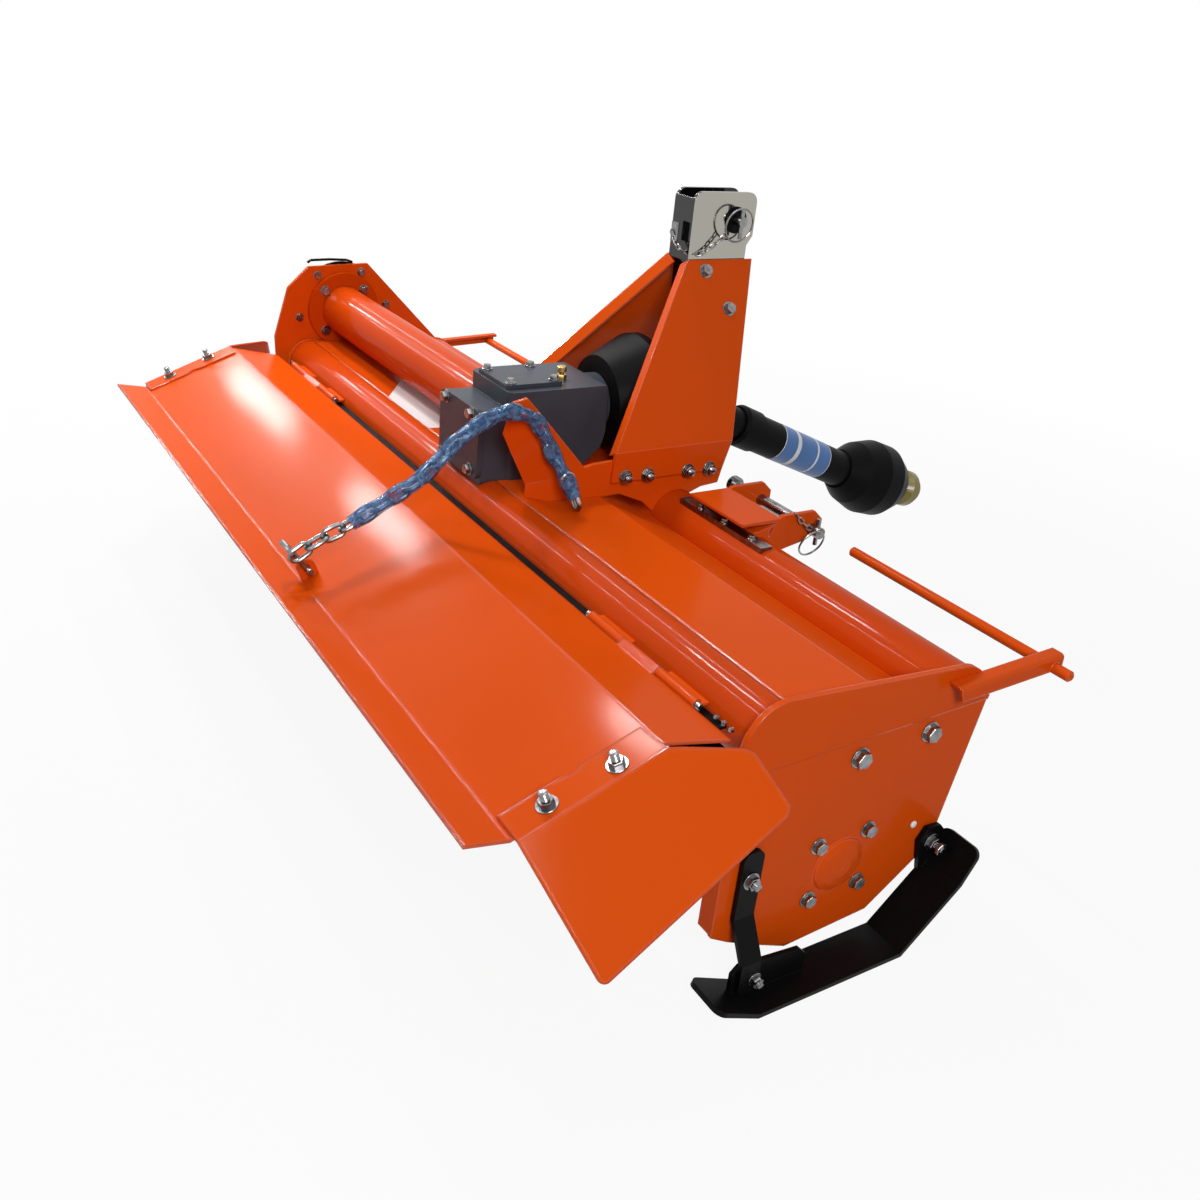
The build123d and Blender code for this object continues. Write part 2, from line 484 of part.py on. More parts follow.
# a tine's bent section (sideways, radial), its shape seen from the side (tangential, radial), and
# the foot seen from outside (sideways, tangential); the bend is made in flats, as a press leaves it
BEND_FLATS = 4
bend_centre = (TINE_T + BEND_R, FOOT_R - TINE_T - BEND_R)
bend_turns = [radians(180 - 90 * i / BEND_FLATS) for i in range(BEND_FLATS + 1)]
outer_bend, inner_bend = [[(bend_centre[0] + r * cos(a), bend_centre[1] + r * sin(a)) for a in bend_turns]
                          for r in (BEND_R + TINE_T, BEND_R)]
section = make_face(Polyline(*([(0, 46)] + outer_bend + [(FOOT, FOOT_R), (FOOT, FOOT_R - TINE_T)]
                               + inner_bend[::-1] + [(TINE_T, 46)]), close=True))
side_view = make_face(Polyline((-19, 45), (19, 45), (21, 92), (34, 118), (33, 145), (-6, 145), (-16, 110),
                               close=True))
foot_view = make_face(Polyline((-1, -25), (-1, 36), (40, 36), (FOOT + 1, 22), (FOOT + 1, -3), (30, -25),
                               close=True))
tine = Plane(origin=(0, 0, 0), x_dir=(1, 0, 0), z_dir=(0, -1, 0)) * extrude(section, 60, both=True)
tine = tine & (Plane.YZ.offset(-1) * extrude(side_view, FOOT + 2))
tine = tine & (Pos(0, 0, 40) * extrude(foot_view, 120))
edge_cut = Plane.YZ.offset(BEND_R + TINE_T) * extrude(make_face(Polyline((37, 130), (24, 130), (37, 141.5),
                                                                        close=True)), FOOT)
tine = (tine - edge_cut).solid()
flange = tube_x(FLANGE_R, FLANGE_R - ROTOR_TUBE_R, -FLANGE_T / 2, FLANGE_T / 2, (0, 0))
for k in range(TINES):
    one = Pos(FLANGE_T / 2, 0, 0) * tine
    if k % 2:
        one = mirror_x(one)
    flange += one.rotate(Axis.X, k * 360 / TINES)
flange_step = (2 * PLATE_X - 188) / (FLANGES - 1)
reels = []
for i in range(FLANGES):
    place = Pos(-PLATE_X + 90 + i * flange_step, 0, 0)
    reels.append((place * Rot(i * 360 / TINES / FLANGES, 0, 0) * flange).solid())
node("tines", Compound(children=reels))

# ---------------------------------------------------------------- drive shaft: rear half
P0 = shaft_plane(0.0, SHAFT_DROOP)
BAR_R = 14.0
SLEEVE_R = 35.0                 # rear guard tube, inside the front one
cross = rod_x(8, -38, 38, (JOINT_Y, INPUT_Z)) + rod(on_shaft(0, 0, -38), on_shaft(0, 0, 38), 8)
rear_yoke = rod(on_shaft(46), on_shaft(96), 29)
for s in (-1, 1):
    rear_yoke += P0 * Pos(0, s * 34, 23) * Box(34, 12, 46)
    rear_yoke += P0 * Pos(0, s * 34, 0) * Rot(90, 0, 0) * Cylinder(17, 12)
rear_yoke += P0 * Pos(0, 0, 46) * Box(34, 80, 12)
rear_yoke += rod(on_shaft(90), on_shaft(430), BAR_R)
node("shaft_rear_yoke", rear_yoke + cross)
# (radius, place along the shaft), round the section
CONE = [(80, 28), (84, 28), (84, 52), (SLEEVE_R + 10, 126), (SLEEVE_R, 126), (SLEEVE_R, 112), (80, 50)]
node("shaft_rear_cone", turned(CONE, P0))
SLEEVE = [(30, 106), (SLEEVE_R, 106), (SLEEVE_R, 420), (SLEEVE_R - GUARD_WALL, 420),
          (SLEEVE_R - GUARD_WALL, 111), (30, 111)]
node("shaft_rear_tube", turned(SLEEVE, P0))

# ---------------------------------------------------------------- drive shaft: front half
GUARD_IN = GUARD_R - GUARD_WALL
P1 = shaft_plane(BELL_S, TIP_DROOP)
bell_side = P1 * Pos(0, 0, 96) * Box(400, 400, 200)
GUARD = [(GUARD_IN, COLLAR_S[0]), (GUARD_R, COLLAR_S[0]), (GUARD_R + 4, COLLAR_S[0] + 8),
         (GUARD_R + 4, COLLAR_S[1]), (GUARD_R, COLLAR_S[1]), (GUARD_R, BELL_S + 16),
         (GUARD_IN, BELL_S + 16)]
node("shaft_front_tube", turned(GUARD, P0) - bell_side)
# (radius, place from the bell's start), outside then inside
BELL = [(30, -4), (46, -4), (73, 40), (88, 92), (86, 140), (64, 183), (60, 183), (82, 140), (84, 92),
        (69, 40), (44, 4), (30, 4)]
node("shaft_front_bell", turned(BELL, P1))
steel_tube = turned([(16, 300), (24, 300), (24, BELL_S + 40), (16, BELL_S + 40)], P0)
# (radius, place from the bell's start)
YOKE = [(0, 34), (36, 34), (36, 146), (31, 150), (31, 222), (44, 234), (44, 254), (36, 262),
        (34, YOKE_END), (SPLINE_R, YOKE_END), (SPLINE_R, 150), (0, 150)]
node("shaft_front_yoke", steel_tube + turned(YOKE, P1))

# ---------------------------------------------------------------- export
boxes = [shape.bounding_box() for shape in NODES.values()]
y_min = min(b.min.Y for b in boxes)
y_max = max(b.max.Y for b in boxes)
x_min = min(b.min.X for b in boxes)
x_max = max(b.max.X for b in boxes)
z_min = min(b.min.Z for b in boxes)
Y_MID = round((y_min + y_max) / 2, 1)
X_MID = round((x_min + x_max) / 2, 1)
for name, shape in NODES.items():
    moved = Pos(-X_MID, -Y_MID, AXLE_H) * shape
    solids = moved.solids()
    moved = solids[0] if len(solids) == 1 else Compound(children=list(solids))
    moved.label = name
    export_step(moved, "parts/" + name + ".step")
    print(name, len(solids), "solids", round(sum(s.volume for s in solids) / 1000, 1), "cm3")
print("Y_MID", Y_MID, "X_MID", X_MID, "x", x_min, x_max, "y", y_min, y_max, "z_min", z_min + AXLE_H)
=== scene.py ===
"""Looks for the rotary tiller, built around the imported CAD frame. Metres, Z up."""
import json
from math import cos, pi, radians, sin

import bpy
import bmesh
import numpy as np
from mathutils import Matrix, Vector


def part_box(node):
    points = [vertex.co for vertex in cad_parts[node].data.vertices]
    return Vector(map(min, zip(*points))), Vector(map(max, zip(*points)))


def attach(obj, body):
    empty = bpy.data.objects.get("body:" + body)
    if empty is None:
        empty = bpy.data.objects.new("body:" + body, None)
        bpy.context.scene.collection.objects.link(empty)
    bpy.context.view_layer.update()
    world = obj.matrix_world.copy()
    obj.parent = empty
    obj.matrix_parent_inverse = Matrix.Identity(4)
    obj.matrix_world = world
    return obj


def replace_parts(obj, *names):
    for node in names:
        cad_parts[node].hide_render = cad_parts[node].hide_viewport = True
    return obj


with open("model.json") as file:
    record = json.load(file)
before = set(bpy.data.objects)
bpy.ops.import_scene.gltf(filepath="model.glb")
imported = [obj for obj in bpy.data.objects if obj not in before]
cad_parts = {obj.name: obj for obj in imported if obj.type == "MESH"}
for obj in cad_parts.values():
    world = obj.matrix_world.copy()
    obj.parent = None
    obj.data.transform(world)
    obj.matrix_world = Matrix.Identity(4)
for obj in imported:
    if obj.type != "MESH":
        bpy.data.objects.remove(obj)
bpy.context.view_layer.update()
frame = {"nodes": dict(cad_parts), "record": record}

NODES = frame["nodes"]

# ---------------------------------------------------------------- places taken from the CAD frame
low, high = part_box("rotor_shaft")
AXLE_Y = (low.y + high.y) / 2
AXLE_Z = (low.z + high.z) / 2
MM = 0.001


def at(x, y, z):
    """Point given in millimetres from the rotor's axis and the machine's middle."""
    return Vector((x * MM, AXLE_Y + y * MM, AXLE_Z + z * MM))


RIGHT = Vector((1, 0, 0))
FORE, REAR = Vector((0, 1, 0)), Vector((0, -1, 0))
UP = Vector((0, 0, 1))
GATE_RUN = (at(0, -350, 301.5) - at(0, -558, 221)).normalized()
GATE_UP = RIGHT.cross(GATE_RUN)
DROOP = radians(23)
SHAFT_JOINT = at(0, 270, 418)
SHAFT_RUN = Vector((0, cos(DROOP), -sin(DROOP)))
PLATE = 938.0               # outer face of the right end plate
MAST_LEAN = radians(29.2)   # how far the mast plates' outer faces look up


# ---------------------------------------------------------------- materials
def noise_node(tree, coords, scale, detail):
    noise = tree.nodes.new("ShaderNodeTexNoise")
    noise.inputs["Scale"].default_value = scale
    noise.inputs["Detail"].default_value = detail
    tree.links.new(coords.outputs["Object"], noise.inputs["Vector"])
    return noise


EDGE_COAT = 1.0


def glossier_edges(tree, rounded, shader, coat):
    """Raise the coat's weight along bends and edges, where the rounded normal leaves the face's."""
    face = tree.nodes.new("ShaderNodeNewGeometry")
    dot = tree.nodes.new("ShaderNodeVectorMath")
    dot.operation = "DOT_PRODUCT"
    tree.links.new(face.outputs["Normal"], dot.inputs[0])
    tree.links.new(rounded, dot.inputs[1])
    ramp = tree.nodes.new("ShaderNodeMapRange")
    ramp.inputs["From Min"].default_value = 0.997
    ramp.inputs["From Max"].default_value = 0.975
    ramp.inputs["To Min"].default_value = coat
    ramp.inputs["To Max"].default_value = EDGE_COAT
    tree.links.new(dot.outputs["Value"], ramp.inputs["Value"])
    tree.links.new(ramp.outputs["Result"], shader.inputs["Coat Weight"])


def material(name, colour, rough, metal=0.0, coat=0.0, coat_rough=0.05, grain=(14.0, 4.0), bump=None,
             spread=0.1, rough_spread=0.0, specular=0.5, edge=0.0, tint=(1.0, 1.0, 1.0),
             glossy_edges=False):
    """Principled material with a little procedural change in colour, roughness and relief.

    grain is (scale, detail) of the colour noise, bump is (scale, strength, distance), edge is the
    radius to which sharp edges are rounded when shaded and tint colours the reflections."""
    m = bpy.data.materials.new(name)
    m.use_nodes = True
    tree = m.node_tree
    tree.nodes.clear()
    out = tree.nodes.new("ShaderNodeOutputMaterial")
    shader = tree.nodes.new("ShaderNodeBsdfPrincipled")
    tree.links.new(shader.outputs["BSDF"], out.inputs["Surface"])
    shader.inputs["Metallic"].default_value = metal
    shader.inputs["Coat Weight"].default_value = coat
    shader.inputs["Coat Roughness"].default_value = coat_rough
    shader.inputs["Specular IOR Level"].default_value = specular
    shader.inputs["Specular Tint"].default_value = tint + (1.0,)
    coords = tree.nodes.new("ShaderNodeTexCoord")
    noise = noise_node(tree, coords, *grain)
    ramp = tree.nodes.new("ShaderNodeValToRGB")
    ramp.color_ramp.elements[0].position = 0.3
    ramp.color_ramp.elements[1].position = 0.7
    ramp.color_ramp.elements[0].color = tuple(c * (1 - spread) for c in colour) + (1.0,)
    ramp.color_ramp.elements[1].color = tuple(min(1.0, c * (1 + spread)) for c in colour) + (1.0,)
    tree.links.new(noise.outputs["Fac"], ramp.inputs["Fac"])
    tree.links.new(ramp.outputs["Color"], shader.inputs["Base Color"])
    span = tree.nodes.new("ShaderNodeMapRange")
    span.inputs["To Min"].default_value = max(0.02, rough - rough_spread)
    span.inputs["To Max"].default_value = min(1.0, rough + rough_spread)
    tree.links.new(noise.outputs["Fac"], span.inputs["Value"])
    tree.links.new(span.outputs["Result"], shader.inputs["Roughness"])
    normal = None
    if edge:
        soft = tree.nodes.new("ShaderNodeBevel")
        soft.samples = 4
        soft.inputs["Radius"].default_value = edge
        normal = soft.outputs["Normal"]
        if glossy_edges:
            glossier_edges(tree, normal, shader, coat)
    if bump:
        fine = noise_node(tree, coords, bump[0], 2.0)
        relief = tree.nodes.new("ShaderNodeBump")
        relief.inputs["Strength"].default_value = bump[1]
        relief.inputs["Distance"].default_value = bump[2]
        tree.links.new(fine.outputs["Fac"], relief.inputs["Height"])
        if normal:
            tree.links.new(normal, relief.inputs["Normal"])
        normal = relief.outputs["Normal"]
    if normal:
        tree.links.new(normal, shader.inputs["Normal"])
        tree.links.new(normal, shader.inputs["Coat Normal"])
    return m


PAINT = dict(coat=0.09, coat_rough=0.10, grain=(3.0, 2.0), bump=(420.0, 0.09, 0.0004), spread=0.03,
             rough_spread=0.03, specular=0.015, tint=(1.0, 0.4, 0.2), glossy_edges=True)
PAINT_COLOUR = (0.66, 0.074, 0.003)
ORANGE = material("orange_paint", PAINT_COLOUR, 0.30, edge=0.003, **PAINT)
ORANGE_SHEET = material("orange_sheet", PAINT_COLOUR, 0.30, edge=0.008, **PAINT)
# darker orange of the three big tubes: painted shade, the same paint as the sheets shaded darker
ORANGE_TUBE_SHADED = material("orange_tube_shaded", (0.53, 0.052, 0.002), 0.30,
                       **dict(PAINT, coat=0.13, coat_rough=0.05))
BLACK = material("black_paint", (0.003, 0.003, 0.0033), 0.38, bump=(260.0, 0.2, 0.0006), spread=0.2,
                 rough_spread=0.08, specular=0.07, edge=0.0015)
GLOSS_BLACK = material("gloss_black", (0.003, 0.003, 0.0033), 0.10, coat=0.5, coat_rough=0.04,
                       spread=0.1, specular=0.2, edge=0.0015)
GREY = material("gearbox_grey", (0.044, 0.050, 0.064), 0.36, bump=(120.0, 0.3, 0.001), spread=0.12,
                rough_spread=0.06, specular=0.15, edge=0.002)
ZINC = material("zinc_plate", (0.24, 0.24, 0.245), 0.24, metal=1.0, grain=(90.0, 4.0), spread=0.35,
                rough_spread=0.08)
STEEL = material("bare_steel", (0.24, 0.24, 0.23), 0.30, metal=1.0, grain=(70.0, 5.0), spread=0.3,
                 rough_spread=0.1)
BRASS = material("brass", (0.55, 0.36, 0.12), 0.30, metal=1.0, grain=(90.0, 4.0), spread=0.2,
                 rough_spread=0.08)
PLASTIC = material("black_plastic", (0.004, 0.004, 0.0045), 0.44, bump=(300.0, 0.15, 0.0005),
                   spread=0.15, rough_spread=0.05, specular=0.05)
OLIVE = material("olive_paint", (0.20, 0.155, 0.018), 0.36, coat=0.3, spread=0.15, rough_spread=0.08)
LABEL = material("label_white", (0.80, 0.80, 0.80), 0.5, spread=0.02)
BAND_BLUE = material("label_blue", (0.05, 0.16, 0.42), 0.35, spread=0.1)
BY_SLOT = {"orange_paint": ORANGE, "black_paint": BLACK, "gloss_black": GLOSS_BLACK,
           "gearbox_grey": GREY, "zinc_plate": ZINC, "bare_steel": STEEL, "black_plastic": PLASTIC,
           "olive_paint": OLIVE}
for part in frame["record"]["subparts"]:
    node = NODES[part["node"]]
    node.data.materials.clear()
    node.data.materials.append(BY_SLOT[part["material_slot"]])
for name in ("gate_panel", "right_wing", "left_wing"):
    NODES[name].data.materials[0] = ORANGE_SHEET
# the tubes take the darker orange of painted shade
for name in ("rear_tube", "front_tube", "drive_tube"):
    NODES[name].data.materials[0] = ORANGE_TUBE_SHADED


def paint_cheek_reflection():
    """Outer faces of the top clevis get a painted reflection, pale metal standing for the bright ground
    seen in their gloss black; its web and inside stay gloss black.

    A face looks outward where its normal's x and its place's x have the same sign."""
    tree = GLOSS_BLACK.node_tree
    shader = next(n for n in tree.nodes if n.type == "BSDF_PRINCIPLED")
    coords = next(n for n in tree.nodes if n.type == "TEX_COORD")
    parts = []
    for output in ("Normal", "Object"):
        split = tree.nodes.new("ShaderNodeSeparateXYZ")
        tree.links.new(coords.outputs[output], split.inputs["Vector"])
        parts.append(split.outputs["X"])
    product = tree.nodes.new("ShaderNodeMath")
    product.operation = "MULTIPLY"
    outer = tree.nodes.new("ShaderNodeMath")
    outer.operation = "GREATER_THAN"
    outer.inputs[1].default_value = 0.02
    for i, part in enumerate(parts):
        tree.links.new(part, product.inputs[i])
    tree.links.new(product.outputs["Value"], outer.inputs[0])
    mix = tree.nodes.new("ShaderNodeMix")
    mix.data_type = "RGBA"
    tree.links.new(shader.inputs["Base Color"].links[0].from_socket, mix.inputs[6])
    # pale grey painted on the outer cheeks: painted reflection of the bright ground
    mix.inputs[7].default_value = (0.36, 0.345, 0.30, 1.0)
    tree.links.new(outer.outputs["Value"], mix.inputs[0])
    tree.links.new(mix.outputs[2], shader.inputs["Base Color"])
    tree.links.new(outer.outputs["Value"], shader.inputs["Metallic"])


paint_cheek_reflection()


def film_material():
    """Clear blue wrapping film: mostly see-through, blue where it gathers, with sharp wrinkles."""
    m = bpy.data.materials.new("blue_film")
    m.use_nodes = True
    tree = m.node_tree
    tree.nodes.clear()
    out = tree.nodes.new("ShaderNodeOutputMaterial")
    shader = tree.nodes.new("ShaderNodeBsdfPrincipled")
    shader.inputs["Roughness"].default_value = 0.16
    shader.inputs["Specular IOR Level"].default_value = 0.22
    clear = tree.nodes.new("ShaderNodeBsdfTransparent")
    clear.inputs["Color"].default_value = (0.62, 0.78, 0.95, 1)
    mix = tree.nodes.new("ShaderNodeMixShader")
    coords = tree.nodes.new("ShaderNodeTexCoord")
    folds = noise_node(tree, coords, 60.0, 4.0)
    folds.inputs["Distortion"].default_value = 1.2
    ramp = tree.nodes.new("ShaderNodeValToRGB")
    ramp.color_ramp.elements[0].position = 0.35
    ramp.color_ramp.elements[0].color = (0.04, 0.10, 0.27, 1)
    ramp.color_ramp.elements[1].position = 0.68
    ramp.color_ramp.elements[1].color = (0.13, 0.30, 0.54, 1)
    span = tree.nodes.new("ShaderNodeMapRange")
    span.inputs["From Min"].default_value = 0.3
    span.inputs["From Max"].default_value = 0.7
    span.inputs["To Min"].default_value = 0.30
    span.inputs["To Max"].default_value = 0.66
    relief = tree.nodes.new("ShaderNodeBump")
    relief.inputs["Strength"].default_value = 0.12
    relief.inputs["Distance"].default_value = 0.002
    tree.links.new(folds.outputs["Fac"], ramp.inputs["Fac"])
    # reddish flecks where something shows through the film
    flecks = noise_node(tree, coords, 34.0, 2.0)
    red = tree.nodes.new("ShaderNodeMapRange")
    red.inputs["From Min"].default_value = 0.60
    red.inputs["From Max"].default_value = 0.66
    red.inputs["To Max"].default_value = 0.8
    tint = tree.nodes.new("ShaderNodeMix")
    tint.data_type = "RGBA"
    tint.inputs[7].default_value = (0.30, 0.03, 0.05, 1)
    tree.links.new(flecks.outputs["Fac"], red.inputs["Value"])
    tree.links.new(red.outputs["Result"], tint.inputs[0])
    tree.links.new(ramp.outputs["Color"], tint.inputs[6])
    tree.links.new(tint.outputs[2], shader.inputs["Base Color"])
    tree.links.new(folds.outputs["Fac"], relief.inputs["Height"])
    tree.links.new(relief.outputs["Normal"], shader.inputs["Normal"])
    tree.links.new(folds.outputs["Fac"], span.inputs["Value"])
    tree.links.new(span.outputs["Result"], mix.inputs["Fac"])
    tree.links.new(clear.outputs["BSDF"], mix.inputs[1])
    tree.links.new(shader.outputs["BSDF"], mix.inputs[2])
    tree.links.new(mix.outputs["Shader"], out.inputs["Surface"])
    return m


FILM = film_material()


# ---------------------------------------------------------------- small parts, drawn in one mesh each
class Piece:
    """Collects shapes for one named object that rides on a body."""

    def __init__(self, name, mat, body):
        self.name, self.mat, self.body = name, mat, body
        self.bm = bmesh.new()

    def ring_of(self, centre, a, b, radius, count, twist=0.0):
        return [self.bm.verts.new(centre + (a * cos(t) + b * sin(t)) * radius)
                for t in (twist + 2 * pi * i / count for i in range(count))]

    def bridge(self, one, two):
        n = len(one)
        for i in range(n):
            self.bm.faces.new((one[i], one[(i + 1) % n], two[(i + 1) % n], two[i]))

    def turned(self, origin, axis, profile, count=24, twist=0.0):
        """Closed turned body: profile holds (radius, height) in mm from the bottom middle up."""
        axis = axis.normalized()
        a = axis.orthogonal().normalized()
        b = axis.cross(a)
        last = None
        for radius, height in profile:
            ring = self.ring_of(origin + axis * height * MM, a, b, radius * MM, count, twist)
            if last:
                self.bridge(last, ring)
            else:
                self.bm.faces.new(ring[::-1])
            last = ring
        self.bm.faces.new(last)

    def swept(self, points, radius, count=10, closed=False, radii=None):
        """Round wire along points, which are vectors."""
        n = len(points)
        rings = []
        side = None
        for i, p in enumerate(points):
            before = points[i - 1] if closed or i else p
            after = points[(i + 1) % n] if closed or i < n - 1 else p
            run = (after - before).normalized()
            if side is None:
                side = run.orthogonal().normalized()
            side = (side - run * side.dot(run)).normalized()
            r = radii[i] if radii else radius
            rings.append(self.ring_of(p, side, run.cross(side), r * MM, count))
        for one, two in zip(rings, rings[1:]):
            self.bridge(one, two)
        if closed:
            shift = min(range(count), key=lambda k: (rings[-1][0].co - rings[0][k].co).length)
            self.bridge(rings[-1], rings[0][shift:] + rings[0][:shift])
        else:
            self.bm.faces.new(rings[0][::-1])
            self.bm.faces.new(rings[-1])

    def plate(self, corners, thickness):
        """Flat plate from its corners, thickened along its normal."""
        normal = (corners[1] - corners[0]).cross(corners[2] - corners[1]).normalized()
        one = [self.bm.verts.new(c) for c in corners]
        two = [self.bm.verts.new(c + normal * thickness * MM) for c in corners]
        self.bm.faces.new(one[::-1])
        self.bm.faces.new(two)
        self.bridge(one, two)

    def washer(self, origin, axis, radius=12.0, height=2.2):
        self.turned(origin, axis, [(radius - 0.4, 0), (radius, 0.4), (radius, height - 0.4),
                                   (radius - 0.4, height)], 28)

    def hexagon(self, origin, axis, flats, height, twist=0.3, dome=0.0):
        r = flats / 2 / cos(pi / 6)
        self.turned(origin, axis, [(r, 0), (r, height - 0.9), (r * 0.93, height),
                                   (r * 0.6, height + dome)], 6, twist)

    def bolt(self, origin, axis, flats=17.0, head=8.0, washer=12.5, twist=0.3):
        """Hexagon head on its washer."""
        axis = axis.normalized()
        self.washer(origin, axis, washer)
        self.hexagon(origin + axis * 2.2 * MM, axis, flats, head, twist)

    def stud(self, origin, axis, flats=17.0, washer=13.0, bolt_r=5.0, past=9.0, twist=0.3):
        """Nut on its washer with the bolt's threaded end standing out of it."""
        axis = axis.normalized()
        self.washer(origin, axis, washer)
        self.hexagon(origin + axis * 2.2 * MM, axis, flats, 8.5, twist)
        profile = [(bolt_r, 0)]
        turns = int(past / 1.4)
        for i in range(turns):
            profile += [(bolt_r, 1.4 * i + 0.2), (bolt_r - 0.7, 1.4 * i + 0.9)]
        profile += [(bolt_r, past - 0.6), (bolt_r - 1.0, past)]
        self.turned(origin + axis * 10.6 * MM, axis, profile, 16)

    def done(self, sharp=35.0):
        bmesh.ops.recalc_face_normals(self.bm, faces=self.bm.faces[:])
        limit = radians(sharp)
        for face in self.bm.faces:
            face.smooth = True
        for edge in self.bm.edges:
            edge.smooth = not (len(edge.link_faces) == 2 and edge.calc_face_angle(0.0) > limit)
        mesh = bpy.data.meshes.new(self.name)
        self.bm.to_mesh(mesh)
        self.bm.free()
        mesh.materials.append(self.mat)
        o = bpy.data.objects.new(self.name, mesh)
        bpy.context.scene.collection.objects.link(o)
        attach(o, self.body)
        return o


# ---------------------------------------------------------------- bolts
bolts = Piece("frame_bolts", ZINC, "frame")
for y in (-49, 49):
    for z in (-49, 49):
        bolts.bolt(at(PLATE - 2, y, z), RIGHT, 19, 9, 14, 0.2 + y * 0.01)
for y, z in ((-3, 191), (134, 199)):
    bolts.bolt(at(PLATE - 2, y, z), RIGHT, 24, 11, 17, 0.1)
# rear cover, top cover and side flange of the gearbox
for x in (-53, 53):
    for z in (329, 435):
        bolts.bolt(at(x, -195, z), REAR, 17, 9, 12, x * 0.01)
for x in (-47, 47):
    for y in (-117, -26):
        bolts.bolt(at(x, y, 483), UP, 13, 7, 10, y * 0.02)
for y, z in ((-49, -49), (-49, 49), (49, -49), (49, 49)):
    bolts.bolt(at(-924, -70 + y, 382 + z), RIGHT, 17, 8, 12, 0.4)
for y, z in ((-133, 466), (-22, 471), (44, 389), (-181, 365)):
    bolts.bolt(at(-938, y, z), RIGHT, 15, 7, 10, 0.7)
# mast plates: nuts at their feet, bolts at their heads
for side in (1, -1):
    for y, z in ((48, 340), (97, 339), (190, 337), (240, 336)):
        bolts.stud(at(side * 206, y, z), RIGHT * side, 19, 14, 6, 7, y * 0.01)
    for x, y, z in ((58, 294, 681), (102, 334, 620)):
        place = at(side * x, y, z)
        lean = Vector((side * cos(MAST_LEAN), 0, sin(MAST_LEAN)))
        off = (at(side * 206, 0, 388) - place).dot(lean)
        bolts.bolt(place + lean * off, lean, 19, 9, 14, 0.5)
# skids and struts
for side, face in ((1, 939), (-1, 947)):
    bolts.stud(at(side * (face + 8), -180, 40), RIGHT * side, 19, 14, 6, 8, 0.2)
    bolts.stud(at(side * (face + 41), -170, -118), RIGHT * side, 17, 12, 5, 6, 0.6)
    bolts.stud(at(side * (face + 8), 190, -14), RIGHT * side, 19, 15, 6, 16, 0.4)
    bolts.hexagon(at(side * (face + 8), 190, -14) + RIGHT * side * 0.0186, RIGHT * side, 19, 6, 0.9)
# clamp strips on the front tube
for x in (300, 372, 450):
    for side in (1, -1):
        bolts.bolt(at(side * x, 160, 301), UP, 10, 5, 8, x * 0.1)
bolts.done()

breather = Piece("gearbox_breather", BRASS, "frame")
breather.hexagon(at(20, 6, 475), UP, 17, 9, 0.2)
breather.turned(at(20, 6, 484), UP, [(5, 0), (5, 5), (9, 6), (9, 14), (7, 16)], 20)
breather.done()

studs = Piece("gate_studs", ZINC, "gate")
for side in (1, -1):
    studs.stud(at(side * 913, -503, 246.3), GATE_UP, 19, 15, 6, 12, 0.2)
    studs.stud(at(side * 919, -411, 282), GATE_UP, 19, 15, 6, 12, 0.5)
studs.done()


# ---------------------------------------------------------------- linchpins and their small chains
def ring_points(centre, a, b, radius, count=28):
    return [centre + (a * cos(2 * pi * i / count) + b * sin(2 * pi * i / count)) * radius * MM
            for i in range(count)]


def link_points(centre, run, across, length, width, count=5):
    """Middle line of an oval link."""
    half = (length - width) / 2
    r = width / 2
    points = []
    for end in (1, -1):
        for i in range(count):
            t = -pi / 2 + pi * i / (count - 1)
            x = end * (half + r * cos(t))
            y = end * r * sin(t)
            points.append(centre + (run * x + across * y) * MM)
    return points


def small_chain(piece, start, end, sag, length=15.0, width=9.0, wire=1.6):
    """Little welded chain hanging between two points."""
    count = max(2, round((end - start).length / MM / (length - 2 * wire)))
    places = []
    for i in range(count + 1):
        k = i / count
        places.append(start.lerp(end, k) - UP * sag * MM * 4 * k * (1 - k))
    for i, (a, b) in enumerate(zip(places, places[1:])):
        run = (b - a).normalized()
        side = run.cross(UP if abs(run.z) < 0.9 else RIGHT).normalized()
        across = side if i % 2 else run.cross(side)
        piece.swept(link_points((a + b) / 2, run, across, length - wire, width - wire), wire, 6, True)


pins = Piece("linchpins", ZINC, "frame")
# top-link pin's end
pins.swept(ring_points(at(51, 357, 760), FORE, (UP + RIGHT * 0.15).normalized(), 32), 1.9, 8, True)
pins.swept([at(52, 361, 790), at(52, 361, 735)], 4.2, 12)
# lower-link pins' ends
for side in (1, -1):
    lean = (UP + RIGHT * side * 0.3).normalized()
    pins.swept(ring_points(at(side * 456, 300, 274), FORE, lean, 27), 1.9, 8, True)
    pins.swept([at(side * 452, 312, 318), at(side * 452, 312, 268)], 4.0, 12)
pins.done()

small = Piece("pin_chains", STEEL, "frame")
small_chain(small, at(46, 330, 742), at(36, 285, 706), 3)
small_chain(small, at(36, 285, 706), at(20, 246, 712), 4)
small_chain(small, at(20, 246, 712), at(-12, 244, 742), 5)
for side in (1, -1):
    small_chain(small, at(side * 450, 300, 300), at(side * 440, 262, 334), 5)
small.done()

# thin black disc on the clevis cheek round the top pin: painted dark reflection and shadow of the pin's
# collar
painted_ring = Piece("painted_pin_ring", BLACK, "frame")
painted_ring.turned(at(33.2, 361, 767), RIGHT, [(9.6, 0), (25, 0), (25, 0.9), (9.6, 0.9)], 36)
painted_ring.done()

tabs = Piece("zinc_tabs", ZINC, "frame")
